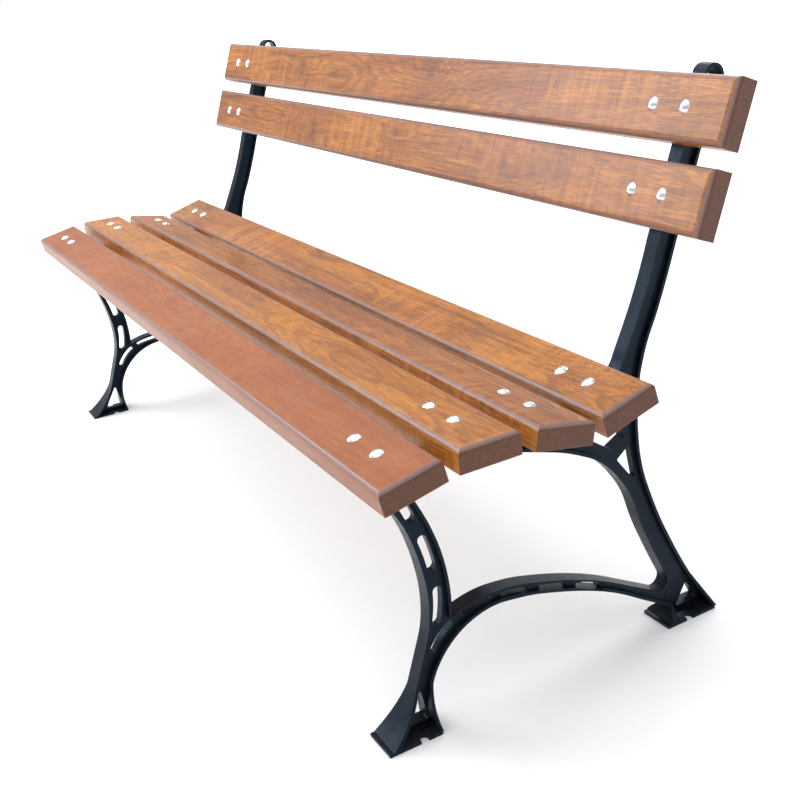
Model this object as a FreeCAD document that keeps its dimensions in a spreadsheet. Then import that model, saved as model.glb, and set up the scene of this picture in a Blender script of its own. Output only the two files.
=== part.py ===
import FreeCAD, Part
import math
import os

import Sketcher
from FreeCAD import Placement, Rotation, Vector

# Garden bench: two cast side frames, four seat slats, two back slats and their coach bolts.
# +X runs along the slats, +Y from the front to the back, +Z up. The origin is on the floor,
# at the middle of the bench's length and depth.

SIZES = {
    # slats
    "slat_length": 1800,
    "slat_width": 93,
    "slat_thick": 35,
    "slat_edge_radius": 9,
    "slat_arris": 1.5,
    "slat_overhang": 116,
    # where each seat slat's face centre lies, from the front foot's toe and the floor
    "seat_height": 470,
    "front_slat_reach": 33,
    "front_slat_drop": 13,
    "front_slat_tilt": 12,
    "second_slat_reach": 148,
    "second_slat_tilt": 0,
    "third_slat_reach": 267,
    "third_slat_drop": 13,
    "third_slat_tilt": -11,
    "rear_slat_reach": 366,
    "rear_slat_drop": 7,
    "rear_slat_tilt": 16,
    # the lower back slat's face centre, and the back's tilt and slat spacing
    "back_reach": 499.5,
    "back_rise": 230,
    "back_tilt": 69.6,
    "back_pitch": 119,
    # flats of the casting under the slats, from each slat's middle, and the hollows between them
    "seat_flat": 30,
    "rear_flat_back": 48,
    "seat_dip": 5,
    "rear_dip": 9,
    # side frame casting
    "frame_width": 25,
    "rim_thick": 5,
    "web_thick": 12,
    "leg_width": 36,
    "upright_width": 33,
    "upright_straight_start": 150,
    "upright_straight_end": 60,
    "window_corner_radius": 3,
    "arm_window_drop": 26,
    "arm_window_front": 46,
    "arm_window_back": 52,
    "front_foot_length": 89,
    "rear_foot_reach": 509,
    "rear_foot_length": 102,
    "foot_width": 60,
    "foot_overhang": 5,
    "foot_thick": 5,
    "foot_corner_radius": 6,
    "instep_run": 24,
    "instep_rise": 21,
    "instep_length": 36,
    "flare_height": 72,
    "foot_edge_height": 8,
    "eye_radius": 18.5,
    "eye_rise": 53,
    "eye_set_back": 3,
    "eye_hole_radius": 13,
    "leg_slot_width": 14,
    "leg_slot_length": 61,
    "leg_slot_gap": 27,
    "leg_slot_count": 3,
    "arch_slot_width": 11,
    "arch_slot_length": 56,
    "arch_slot_gap": 14,
    "arch_slot_count": 5,
    # anchor notches in the feet
    "notch_width": 13,
    "notch_depth": 11,
    "front_notch_reach": 57,
    "rear_notch_reach": 554,
    # slat lugs and fasteners
    "lug_length": 92,
    "lug_width": 30,
    "lug_thick": 8,
    "lug_proud": 1,
    "bolt_spacing": 62.4,
    "bolt_radius": 4,
    "head_radius": 10,
    "head_height": 4.5,
    "neck_side": 8,
    "neck_length": 4.5,
    "bolt_end": 3.9,
    "bolt_clearance": 0.5,
    "washer_radius": 8,
    "washer_thick": 1.6,
    "nut_across_flats": 13,
    "nut_height": 6.5,
    "thread_clearance": 0.15,
}

# The casting's curves are drawn for this reach and seat height, and stretched to the sheet's.
DRAWN_REACH = 509
DRAWN_SEAT_HEIGHT = 470

# How far from a straight line a three-point arc's middle is kept, and the turn, in radians, under
# which an arc is drawn as a line.
LEAST_BOW = 0.001
LEAST_TURN = 1e-4
# A pocket has to remove more than this many cubic millimetres.
LEAST_CUT = 1

doc = FreeCAD.newDocument("garden_bench")
sheet = doc.addObject("Spreadsheet::Sheet", "sizes")
for row, (alias, value) in enumerate(SIZES.items(), start=1):
    sheet.set(f"A{row}", alias)
    sheet.set(f"B{row}", str(value))
    sheet.setAlias(f"B{row}", alias)
doc.recompute()


def size(alias):
    """A driving dimension, read back from the sheet."""
    return float(sheet.get(alias))


def frame_spacing():
    """Between the webs of the two side frames, which stand this far in from the slats' ends."""
    return size("slat_length") - 2 * size("slat_overhang")


def bolt_length():
    """Through the slat, its lug, the washer and the nut, with the bolt's end beyond the nut."""
    clamped = size("slat_thick") + size("lug_thick") + size("washer_thick")
    return clamped + size("nut_height") + size("bolt_end")


# ---------------------------------------------------------------- seats of the slats


class Seat:
    """The plane that carries a slat: its middle in the side view, and its tilt."""

    def __init__(self, reach, rise, tilt):
        angle = math.radians(tilt)
        self.tilt = tilt
        self.along = Vector(math.cos(angle), math.sin(angle), 0)
        self.normal = Vector(-math.sin(angle), math.cos(angle), 0)
        self.middle = Vector(reach, rise, 0) - self.normal * size("slat_thick")

    def point(self, along, drop=0.0):
        """A point this far along the seat and this far below it."""
        return self.middle + self.along * along - self.normal * drop


def back_seat(steps):
    """The lower back slat's seat, or one this many slat spacings above it."""
    angle = math.radians(size("back_tilt"))
    reach = size("back_reach") + steps * size("back_pitch") * math.cos(angle)
    rise = size("seat_height") + size("back_rise") + steps * size("back_pitch") * math.sin(angle)
    return Seat(reach, rise, size("back_tilt"))


def seat_of(name, drop):
    return Seat(size(f"{name}_reach"), size("seat_height") - drop, size(f"{name}_tilt"))


SEATS = {
    "seat_slat_front": seat_of("front_slat", size("front_slat_drop")),
    "seat_slat_second": seat_of("second_slat", 0),
    "seat_slat_third": seat_of("third_slat", size("third_slat_drop")),
    "seat_slat_rear": seat_of("rear_slat", size("rear_slat_drop")),
    "back_slat_lower": back_seat(0),
    "back_slat_upper": back_seat(1),
}


# ---------------------------------------------------------------- side view outlines


def drawn(reach, rise):
    """A point of the casting, stretched from the drawn sizes to the sheet's."""
    across = size("rear_foot_reach") / DRAWN_REACH
    up = size("seat_height") / DRAWN_SEAT_HEIGHT
    return Vector(reach * across, rise * up, 0)


def turned(vector):
    return Vector(-vector.y, vector.x, 0)


def arc_from(start, heading, end):
    """The arc, or line, that leaves start along heading and reaches end."""
    chord = end - start
    turn = math.atan2(chord.x * heading.y - chord.y * heading.x, chord.dot(heading))
    if abs(turn) < LEAST_TURN:
        return Part.LineSegment(start, end)
    middle = (start + end) * 0.5 + turned(chord) * (0.5 * math.tan(turn / 2))
    return Part.Arc(start, middle, end)


def tangent_arcs(points):
    """Arcs through the points, tangent to each other, two for each span."""
    headings = []
    for before, here, after in zip(points, points[1:], points[2:]):
        first, second = here - before, after - here
        heading = first * (second.Length / first.Length) + second * (first.Length / second.Length)
        headings.append(heading.normalize())
    headings.insert(0, mirrored(headings[0], points[1] - points[0]))
    headings.append(mirrored(headings[-1], points[-1] - points[-2]))
    arcs = []
    for start, end, leaving, arriving in zip(points, points[1:], headings, headings[1:]):
        chord = end - start
        both = chord.dot(leaving + arriving)
        bend = 2 * (1 - leaving.dot(arriving))
        if bend < LEAST_TURN ** 2:
            reach = chord.dot(chord) / (2 * both)
        else:
            reach = (math.sqrt(both * both + bend * chord.dot(chord)) - both) / bend
        join = (start + leaving * reach + end - arriving * reach) * 0.5
        arcs.append(arc_from(start, leaving, join))
        arcs.append(arc_from(join, mirrored(arriving, end - join), end))
    return arcs


def mirrored(heading, chord):
    """The heading at one end of an arc, from the heading at its other end."""
    unit = Vector(chord).normalize()
    return unit * (2 * heading.dot(unit)) - heading


def straight(points):
    return [Part.LineSegment(start, end) for start, end in zip(points, points[1:])]


def rounded_loop(points, radius):
    """A closed polygon with each corner rounded by the same radius."""
    segments = []
    count = len(points)
    touches = []
    for index, corner in enumerate(points):
        before = (points[index - 1] - corner).normalize()
        after = (points[(index + 1) % count] - corner).normalize()
        half = before.getAngle(after) / 2
        setback = radius / math.tan(half)
        centre = corner + (before + after).normalize() * (radius / math.sin(half))
        nearest = centre + (corner - centre).normalize() * radius
        touches.append((corner + before * setback, nearest, corner + after * setback))
    for index, (entry, nearest, leave) in enumerate(touches):
        segments.append(Part.Arc(entry, nearest, leave))
        segments.append(Part.LineSegment(leave, touches[(index + 1) % count][0]))
    return segments


def slot_loop(start, middle, end, width):
    """A slot with round ends along the arc through three points."""
    half = width / 2
    path = Part.Arc(start, middle, end)
    out_start = turned(path.tangent(path.FirstParameter)[0]).normalize() * half
    out_middle = turned(end - start).normalize() * half
    out_end = turned(path.tangent(path.LastParameter)[0]).normalize() * half
    if out_start.dot(out_middle) < 0:
        out_start, out_end = out_start * -1, out_end * -1
    tip_start = start + turned(out_start)
    tip_end = end - turned(out_end)
    return [
        Part.Arc(start + out_start, middle + out_middle, end + out_end),
        Part.Arc(end + out_end, tip_end, end - out_end),
        Part.Arc(end - out_end, middle - out_middle, start - out_start),
        Part.Arc(start - out_start, tip_start, start + out_start),
    ]


def leg_edge(reach_offset=0.0):
    """The front leg's swept edge above the arch, or the same edge moved back."""
    shift = Vector(reach_offset, 0, 0)
    return [drawn(95, 205) + shift, drawn(88, 266) + shift, drawn(62, 345) + shift]


def upright_edge(drop):
    """The two ends of the upright's straight edge under the back slats, this far behind them."""
    lower = SEATS["back_slat_lower"]
    ends = (size("upright_straight_start"), size("upright_straight_end"))
    return [lower.point(-below, drop) for below in ends]


def outer_edge():
    """The casting's outside: leg, rail, upright and eye, rear leg, foot and arch."""
    seats = SEATS
    proud = size("lug_proud")
    lower = seats["back_slat_lower"]
    upper = seats["back_slat_upper"]
    rear_drop = proud + size("upright_width")
    eye = size("eye_radius")
    eye_rise = size("eye_rise")
    eye_drop = proud + size("eye_set_back") + eye
    below_eye = math.sqrt(eye ** 2 - (rear_drop - eye_drop) ** 2)
    eye_neck = upper.point(eye_rise - 2 * eye, proud)
    eye_start = upper.point(eye_rise, eye_drop - eye)
    eye_top = upper.point(eye_rise + eye, eye_drop)
    eye_end = upper.point(eye_rise - below_eye, rear_drop)

    front = seats["seat_slat_front"]
    second = seats["seat_slat_second"]
    third = seats["seat_slat_third"]
    rear = seats["seat_slat_rear"]
    toe = Vector(0, 0, 0)
    leg = [toe, drawn(48, 49), drawn(76, 114), drawn(92, 165)] + leg_edge()
    flat = size("seat_flat")
    leg += [drawn(34, 388), front.point(-flat, proud)]

    segments = tangent_arcs(leg)
    dips = {"second": size("seat_dip"), "third": size("seat_dip"), "rear": size("rear_dip")}
    for seat, name in ((front, "second"), (second, "third"), (third, "rear")):
        start, end = seat.point(flat, proud), seats[f"seat_slat_{name}"].point(-flat, proud)
        segments += straight([seat.point(-flat, proud), start])
        segments.append(Part.Arc(start, (start + end) * 0.5 - Vector(0, dips[name], 0), end))

    waist = [rear.point(size("rear_flat_back"), proud), drawn(437, 457), drawn(450, 482)]
    waist += upright_edge(proud)
    segments += straight([rear.point(-flat, proud), waist[0]])
    segments += tangent_arcs(waist)
    segments += straight([waist[-1], eye_neck, eye_start])
    segments.append(Part.Arc(eye_start, eye_top, eye_end))
    back_edge = upright_edge(rear_drop)
    segments += straight([eye_end, back_edge[1]])
    heel = Vector(size("rear_foot_reach") + size("rear_foot_length"), size("foot_thick"), 0)
    rear_leg = [back_edge[1], back_edge[0], drawn(486, 476), drawn(474, 430), drawn(470, 360)]
    rear_leg += [drawn(476, 299), drawn(500, 222), drawn(541, 131), drawn(585, 50), heel]
    segments += tangent_arcs(rear_leg)

    rear_toe = Vector(size("rear_foot_reach"), 0, 0)
    instep = rear_toe + Vector(size("instep_run"), size("instep_rise"), 0)
    segments += straight([heel, Vector(heel.x, 0, 0), rear_toe, instep])
    front_heel = Vector(size("front_foot_length"), 0, 0)
    arch = [instep, drawn(492, 47), drawn(406, 99), drawn(324, 132), drawn(245, 153), drawn(195, 157)]
    arch += [drawn(146, 141), drawn(113, 113), drawn(93, 80), drawn(84, 38), front_heel]
    segments += tangent_arcs(arch)
    segments += straight([front_heel, toe])
    return segments


def main_window():
    """The opening between the legs, the seat rail and the arch."""
    leg = leg_edge(size("leg_width"))
    front = [drawn(130, 168)] + leg + [drawn(84, 373)]
    rail = [drawn(103, 398), drawn(160, 400), drawn(225, 391), drawn(284, 374), drawn(346, 352)]
    rail += [drawn(401, 320), drawn(442, 271), drawn(481, 175), drawn(524, 82)]
    arch = [drawn(508, 60), drawn(471, 81), drawn(384, 128), drawn(303, 159), drawn(225, 178)]
    arch += [drawn(180, 180), drawn(130, 168)]
    corner = Part.Arc(front[-1], drawn(86, 391), rail[0])
    toe_corner = Part.Arc(rail[-1], drawn(521, 64), arch[0])
    return tangent_arcs(front) + [corner] + tangent_arcs(rail) + [toe_corner] + tangent_arcs(arch)


def arm_window():
    """The three-cornered opening under the rear seat slat."""
    rear = SEATS["seat_slat_rear"]
    drop = size("arm_window_drop")
    corners = [drawn(425, 332), drawn(449, 345)]
    corners += [rear.point(size("arm_window_back"), drop), rear.point(-size("arm_window_front"), drop)]
    return rounded_loop(corners, size("window_corner_radius"))


def throat_window():
    """The small triangle where the rail, the rear leg and the upright meet."""
    corners = [drawn(434, 313), drawn(470, 265), drawn(458, 331)]
    return rounded_loop(corners, size("window_corner_radius"))


def eye_hole():
    drop = size("lug_proud") + size("eye_set_back") + size("eye_radius")
    centre = SEATS["back_slat_upper"].point(size("eye_rise"), drop)
    return [Part.Circle(centre, Vector(0, 0, 1), size("eye_hole_radius"))]


def foot_windows():
    """The openings in the web just above each foot."""
    front = [drawn(38, 13), drawn(80, 13), drawn(71, 68)]
    rear = [drawn(548, 13), drawn(596, 13), drawn(570, 52)]
    return [rounded_loop(corners, size("window_corner_radius")) for corners in (front, rear)]


def web_slots():
    """Round-ended slots down the front leg, round the arch and behind the back slats."""
    loops = []
    leg = [drawn(108, 166), drawn(113, 205), drawn(106, 266), drawn(80, 345), drawn(52, 400)]
    loops += slots_along(leg, "leg_slot")
    arch = [drawn(98, 121), drawn(116, 144), drawn(146, 162), drawn(195, 169), drawn(303, 149)]
    arch += [drawn(406, 108), drawn(484, 62)]
    loops += slots_along(arch, "arch_slot")
    for name in ("back_slat_lower", "back_slat_upper"):
        seat = SEATS[name]
        drop = size("lug_proud") + size("upright_width") / 2
        span = (size("leg_slot_length") - size("leg_slot_width")) / 2
        ends = [seat.point(-span, drop), seat.point(0, drop + LEAST_BOW), seat.point(span, drop)]
        loops.append(slot_loop(*ends, size("leg_slot_width")))
    return loops


def slots_along(points, kind):
    """Slots of one kind, one after another on the tangent arcs through these points."""
    length, gap, width = (size(f"{kind}_{part}") for part in ("length", "gap", "width"))
    path = [curve.toShape() for curve in tangent_arcs(points)]
    loops = []
    for number in range(int(size(f"{kind}_count"))):
        start = number * (length + gap)
        places = [point_along(path, start + (length - width) * share) for share in (0, 0.5, 1)]
        loops.append(slot_loop(*places, width))
    return loops


def point_along(path, distance):
    """The point this far along a run of edges."""
    for edge in path:
        if distance <= edge.Length:
            return edge.valueAt(edge.getParameterByLength(distance))
        distance -= edge.Length
    return path[-1].Vertexes[-1].Point


# ---------------------------------------------------------------- document helpers


def origin_plane(body, role):
    return next(plane for plane in body.Origin.OriginFeatures if plane.Role == role)


def sketch_on(body, role, name, loops, offset=None):
    """A sketch of closed loops on one of the body's own origin planes."""
    sketch = body.newObject("Sketcher::SketchObject", name)
    sketch.AttachmentSupport = [(origin_plane(body, role), "")]
    sketch.MapMode = "FlatFace"
    if offset is not None:
        sketch.AttachmentOffset = offset
    for loop in loops:
        sketch.addGeometry(loop, False)
    return sketch


def pad(body, sketch, name, length, side="Symmetric", backwards=False):
    feature = body.newObject("PartDesign::Pad", name)
    feature.Profile = sketch
    feature.SideType = side
    feature.Reversed = backwards
    feature.setExpression("Length", length)
    return feature


def cut_through(body, sketch, name):
    """A pocket right through the body, both ways from its sketch."""
    before = solid_volume(body)
    feature = body.newObject("PartDesign::Pocket", name)
    feature.Profile = sketch
    feature.Type = "ThroughAll"
    feature.SideType = "Symmetric"
    require_cut(body, before, name)
    return feature


def solid_volume(body):
    doc.recompute()
    return body.Shape.Volume


def require_cut(body, before, name):
    """Stops the build where a pocket has removed nothing."""
    if solid_volume(body) > before - LEAST_CUT:
        raise RuntimeError(f"{name} of {body.Label} removes nothing")


# ---------------------------------------------------------------- the casting


def wire_of(loop):
    return Part.Wire(Part.__sortEdges__([curve.toShape() for curve in loop]))


def recess_face(outer, windows):
    """The sunk panels inside the rims, as flat faces in the side view."""
    rim = size("rim_thick")
    panel = Part.Face(wire_of(outer).makeOffset2D(-rim))
    for window in windows:
        panel = panel.cut(Part.Face(wire_of(window).makeOffset2D(rim)))
    return panel


def loops_of(shape):
    """The outlines of flat faces, as lines and three-point arcs for a sketch."""
    loops = []
    for wire in shape.Wires:
        loop = []
        for edge in wire.OrderedEdges:
            first, last = edge.ParameterRange
            start, end = edge.valueAt(first), edge.valueAt(last)
            if isinstance(edge.Curve, Part.Line):
                loop.append(Part.LineSegment(start, end))
            else:
                loop.append(Part.Arc(start, edge.valueAt((first + last) / 2), end))
        loops.append(loop)
    return loops


def foot_faces(rims):
    """The parts of the rims that widen into the two feet."""
    base = size("foot_thick")
    height = size("flare_height") - base
    margin = 10
    front = Part.makePlane(size("front_foot_length") + 2 * margin, height, Vector(-margin, base, 0))
    rear_start = Vector(size("rear_foot_reach"), base, 0)
    rear = Part.makePlane(size("rear_foot_length") + margin, height, rear_start)
    return rims.common(Part.makeCompound([front, rear]))


def flare_loops(shift, high):
    """The wedges that taper a foot in the front view from this height, one on each side."""
    near = size("frame_width") / 2
    low = size("foot_edge_height")
    above = size("flare_height") + size("rim_thick")
    loops = []
    for side in (-1, 1):
        far = size("foot_width") / 2 + side * shift
        beyond = far + size("frame_width")
        corners = [(near, high), (far, low), (beyond, low), (beyond, above), (near, above)]
        points = [Vector(side * across, rise, 0) for across, rise in corners]
        loops.append(straight(points + points[:1]))
    return loops


def foot_plate(start, length, notch, shift):
    """A foot's base seen from above, with an anchor notch in each side."""
    half = size("foot_width") / 2
    corner = size("foot_corner_radius")
    reach = half - size("notch_depth")
    throat = size("notch_width") / 2
    end = start + length
    right = [Vector(half, start, 0), Vector(half, notch - throat, 0)]
    right.append(Vector(reach + throat, notch - throat, 0))
    beyond = [Vector(reach + throat, notch + throat, 0), Vector(half, notch + throat, 0)]
    beyond.append(Vector(half, end - corner, 0))
    bow = corner * (1 - math.sqrt(0.5))
    side = straight(right)
    side.append(Part.Arc(right[-1], Vector(reach, notch, 0), beyond[0]))
    side += straight(beyond)
    side.append(Part.Arc(beyond[-1], Vector(half - bow, end - bow, 0), Vector(half - corner, end, 0)))
    other = []
    for curve in side:
        copy = curve.copy()
        copy.mirror(Vector(), Vector(0, 1, 0))
        other.append(copy)
    ends = straight([Vector(-half, start, 0), Vector(half, start, 0)])
    ends += straight([Vector(half - corner, end, 0), Vector(corner - half, end, 0)])
    plate = side + other + ends
    for curve in plate:
        curve.translate(Vector(shift, 0, 0))
    return plate


def cut_instep(body, shift):
    """Lowers the flares at the front of the rear foot, where the arch runs down to it."""
    before = solid_volume(body)
    toe = Placement(Vector(0, 0, -size("rear_foot_reach")), Rotation())
    wedges = flare_loops(shift, size("instep_rise"))
    pocket = body.newObject("PartDesign::Pocket", "instep_flares")
    pocket.Profile = sketch_on(body, "XZ_Plane", "instep_outline", wedges, toe)
    pocket.setExpression("Length", "sizes.instep_length")
    require_cut(body, before, "instep_flares")


def lug_loops():
    """A slat lug seen square on: a round-ended plate with two bolt holes."""
    end = (size("lug_length") - size("lug_width")) / 2
    straight_half = Vector(end, 0, 0)
    plate = slot_loop(straight_half * -1, Vector(0, LEAST_BOW, 0), straight_half, size("lug_width"))
    return [plate] + bolt_holes()


def bolt_holes():
    radius = size("bolt_radius") + size("bolt_clearance")
    return [[Part.Circle(Vector(across, 0, 0), Vector(0, 0, 1), radius)] for across in bolt_places()]


def bolt_places():
    """Where the two bolts of a slat end lie, from the casting's web."""
    return (-size("bolt_spacing") / 2, size("bolt_spacing") / 2)


def make_side_frame(label, outward):
    """The casting of one side; outward is 1 at the right end and -1 at the left."""
    body = doc.addObject("PartDesign::Body", label)
    body.Label = label
    outer = outer_edge()
    windows = [main_window(), eye_hole(), arm_window()]
    outer_panel = recess_face(outer, windows[:2])
    inner_panel = recess_face(outer, windows)
    plain = Part.Face(wire_of(outer))
    for window in windows:
        plain = plain.cut(Part.Face(wire_of(window)))
    rims = plain.cut(inner_panel)

    outline = sketch_on(body, "YZ_Plane", "outline", [outer] + windows)
    pad(body, outline, "full_width", "sizes.frame_width")
    recesses = ((outward, outer_panel, "outer_recess"), (-outward, inner_panel, "inner_recess"))
    for side, panel, name in recesses:
        before = solid_volume(body)
        face_offset = Placement(Vector(0, 0, side * size("frame_width") / 2), Rotation())
        sketch = sketch_on(body, "YZ_Plane", name + "_outline", loops_of(panel), face_offset)
        pocket = body.newObject("PartDesign::Pocket", name)
        pocket.Profile = sketch
        pocket.Reversed = side < 0
        pocket.setExpression("Length", "(sizes.frame_width - sizes.web_thick) / 2")
        require_cut(body, before, name)

    shift = outward * size("foot_overhang")
    over = Placement(Vector(0, 0, shift), Rotation())
    feet = sketch_on(body, "YZ_Plane", "foot_outline", loops_of(foot_faces(rims)), over)
    pad(body, feet, "foot_flanges", "sizes.foot_width")
    flares = flare_loops(shift, size("flare_height"))
    cut_through(body, sketch_on(body, "XZ_Plane", "flare_outline", flares), "foot_flares")
    cut_instep(body, shift)
    plates = [
        foot_plate(0, size("front_foot_length"), size("front_notch_reach"), shift),
        foot_plate(size("rear_foot_reach"), size("rear_foot_length"), size("rear_notch_reach"), shift),
    ]
    plate_outline = sketch_on(body, "XY_Plane", "foot_plate_outline", plates)
    pad(body, plate_outline, "foot_plates", "sizes.foot_thick", "One side")
    openings = [throat_window()] + foot_windows() + web_slots()
    cut_through(body, sketch_on(body, "YZ_Plane", "web_openings_outline", openings), "web_openings")

    for name, seat in SEATS.items():
        middle = Vector(0, seat.middle.x, seat.middle.y)
        offset = Placement(middle, Rotation(Vector(1, 0, 0), seat.tilt))
        sketch = sketch_on(body, "XY_Plane", name + "_lug_outline", lug_loops(), offset)
        pad(body, sketch, name + "_lug", "sizes.lug_thick", "One side", True)
    body.Placement = Placement(Vector(outward * frame_spacing() / 2, 0, 0), Rotation())
    return body


# ---------------------------------------------------------------- slats and fasteners


def bound_rectangle(sketch, width, height, centred=False):
    """A rectangle on the sketch's origin whose width and height follow the sheet."""
    half = 10
    bottom = -half if centred else 0
    corners = [(-half, bottom), (half, bottom), (half, half), (-half, half)]
    corners = [Vector(across, up, 0) for across, up in corners]
    sketch.addGeometry(straight(corners + corners[:1]), False)
    for line in range(4):
        sketch.addConstraint(Sketcher.Constraint("Coincident", line, 2, (line + 1) % 4, 1))
    for line in (0, 2):
        sketch.addConstraint(Sketcher.Constraint("Horizontal", line))
        sketch.addConstraint(Sketcher.Constraint("Vertical", line + 1))
    far = (1, 2) if centred else (0, 2)
    sketch.addConstraint(Sketcher.Constraint("Symmetric", 0, 1, *far, -1, 1))
    sizes = (("DistanceX", 0, "width", width), ("DistanceY", 1, "height", height))
    for kind, line, name, expression in sizes:
        index = sketch.addConstraint(Sketcher.Constraint(kind, line, 1, line, 2, half))
        sketch.renameConstraint(index, name)
        sketch.setExpression(f"Constraints.{name}", expression)


def slat_holes(shape_at):
    """The same outline at each of a slat's four bolts."""
    places = []
    for side in (-1, 1):
        web = side * frame_spacing() / 2
        places += [web + across for across in bolt_places()]
    return [shape_at(across) for across in places]


def level_edges(feature, rise):
    """The names of a feature's edges that lie flat at this height."""
    names = []
    for number, edge in enumerate(feature.Shape.Edges, start=1):
        if all(abs(vertex.Point.z - rise) < LEAST_BOW for vertex in edge.Vertexes):
            names.append(f"Edge{number}")
    return names


def make_slat(label, placement):
    body = doc.addObject("PartDesign::Body", label)
    body.Label = label
    section = sketch_on(body, "YZ_Plane", "section", [])
    bound_rectangle(section, "sizes.slat_width", "sizes.slat_thick")
    plank = pad(body, section, "plank", "sizes.slat_length")
    doc.recompute()
    top = size("slat_thick")
    roundings = (("rounded_edges", top, "slat_edge_radius"), ("lower_arris", 0, "slat_arris"))
    for name, rise, radius in roundings:
        rounding = body.newObject("PartDesign::Fillet", name)
        rounding.Base = (plank, level_edges(plank, rise))
        rounding.setExpression("Radius", f"sizes.{radius}")
        doc.recompute()
        plank = rounding
    radius = size("bolt_radius") + size("bolt_clearance")
    holes = slat_holes(lambda across: [Part.Circle(Vector(across, 0, 0), Vector(0, 0, 1), radius)])
    cut_through(body, sketch_on(body, "XY_Plane", "hole_outlines", holes), "bolt_holes")

    half = (size("neck_side") + size("bolt_clearance")) / 2
    corners = [(-half, -half), (half, -half), (half, half), (-half, half), (-half, -half)]
    squares = slat_holes(lambda across: straight([Vector(across + x, y, 0) for x, y in corners]))
    before = solid_volume(body)
    face = Placement(Vector(0, 0, top), Rotation())
    sockets = body.newObject("PartDesign::Pocket", "neck_sockets")
    sockets.Profile = sketch_on(body, "XY_Plane", "socket_outlines", squares, face)
    sockets.setExpression("Length", "sizes.neck_length + sizes.bolt_clearance")
    require_cut(body, before, "neck_sockets")
    body.Placement = placement
    return body


def make_bolt():
    """The coach bolt every slat shares, its head's underside at the origin."""
    body = doc.addObject("PartDesign::Body", "coach_bolt")
    head, rise = size("head_radius"), size("head_height")
    shank, end = size("bolt_radius"), -bolt_length()
    dome = (head ** 2 + rise ** 2) / (2 * rise)
    bulge = Vector(head / 2, rise - dome + math.sqrt(dome ** 2 - head ** 2 / 4), 0)
    chamfer = shank / 4
    rim = [Vector(head, 0, 0), Vector(shank, 0, 0), Vector(shank, end + chamfer, 0)]
    rim += [Vector(shank - chamfer, end, 0), Vector(0, end, 0), Vector(0, rise, 0)]
    profile = [Part.Arc(Vector(0, rise, 0), bulge, rim[0])] + straight(rim)
    turning = body.newObject("PartDesign::Revolution", "turned_bolt")
    turning.Profile = sketch_on(body, "XZ_Plane", "half_profile", [profile])
    turning.ReferenceAxis = (origin_plane(body, "Z_Axis"), [""])
    turning.Angle = 360
    neck = sketch_on(body, "XY_Plane", "neck_outline", [])
    bound_rectangle(neck, "sizes.neck_side", "sizes.neck_side", centred=True)
    pad(body, neck, "square_neck", "sizes.neck_length", "One side", True)
    return body


def make_washer():
    body = doc.addObject("PartDesign::Body", "washer")
    hole = size("bolt_radius") + size("bolt_clearance")
    rings = [[Part.Circle(Vector(), Vector(0, 0, 1), radius)] for radius in (size("washer_radius"), hole)]
    pad(body, sketch_on(body, "XY_Plane", "ring", rings), "disc", "sizes.washer_thick", "One side")
    return body


def make_nut():
    body = doc.addObject("PartDesign::Body", "nut")
    corner = size("nut_across_flats") / math.sqrt(3)
    turns = [math.radians(60 * step) for step in range(7)]
    hexagon = straight([Vector(corner * math.cos(turn), corner * math.sin(turn), 0) for turn in turns])
    bore = Part.Circle(Vector(), Vector(0, 0, 1), size("bolt_radius") + size("thread_clearance"))
    outline = sketch_on(body, "XY_Plane", "hexagon", [hexagon, [bore]])
    pad(body, outline, "block", "sizes.nut_height", "One side")
    return body


def make_group(label, master, rise, placement):
    """Four copies of one fastener at a slat's bolts, in the slat's own frame."""
    copies = []
    for number, place in enumerate(slat_holes(lambda across: Vector(across, 0, rise)), start=1):
        copy = doc.addObject("App::Link", f"{label}_{number}")
        copy.LinkedObject = master
        copy.Placement = Placement(place, Rotation())
        copies.append(copy)
    group = doc.addObject("Part::Compound", label)
    group.Label = label
    group.Links = copies
    group.Placement = placement
    return group


# ---------------------------------------------------------------- assembly and export


def main():
    nodes = [make_side_frame("side_frame_left", -1), make_side_frame("side_frame_right", 1)]
    bolt, washer, nut = make_bolt(), make_washer(), make_nut()
    below_washer = -size("lug_thick") - size("washer_thick")
    for name, seat in SEATS.items():
        middle = Vector(0, seat.middle.x, seat.middle.y)
        placement = Placement(middle, Rotation(Vector(1, 0, 0), seat.tilt))
        nodes.append(make_slat(name, placement))
        nodes.append(make_group(name + "_bolts", bolt, size("slat_thick"), placement))
        nodes.append(make_group(name + "_washers", washer, below_washer, placement))
        nodes.append(make_group(name + "_nuts", nut, below_washer - size("nut_height"), placement))
    doc.recompute()
    centre_depth(nodes)
    check(nodes)
    os.makedirs("parts", exist_ok=True)
    for node in nodes:
        node.Shape.exportStep(f"parts/{node.Label}.step")
        print(node.Label, len(node.Shape.Solids), round(node.Shape.Volume))


def centre_depth(nodes):
    """Moves every sub-part so that the origin is at the middle of the bench's depth."""
    boxes = [node.Shape.optimalBoundingBox(False) for node in nodes]
    middle = (min(box.YMin for box in boxes) + max(box.YMax for box in boxes)) / 2
    for node in nodes:
        moved = node.Placement.copy()
        moved.Base = moved.Base - Vector(0, middle, 0)
        node.Placement = moved
    doc.recompute()


def check(nodes):
    """Stops the build where an object failed or a sub-part has no valid solid."""
    for item in doc.Objects:
        if "Invalid" in item.State or "Error" in item.State:
            raise RuntimeError(f"{item.Name} failed: {item.State}")
    for node in nodes:
        shape = node.Shape
        if shape.isNull() or not shape.isValid() or not shape.Solids:
            raise RuntimeError(f"{node.Label} is not a valid solid")


main()
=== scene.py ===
import math

import bpy
from mathutils import Matrix, Vector


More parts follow.
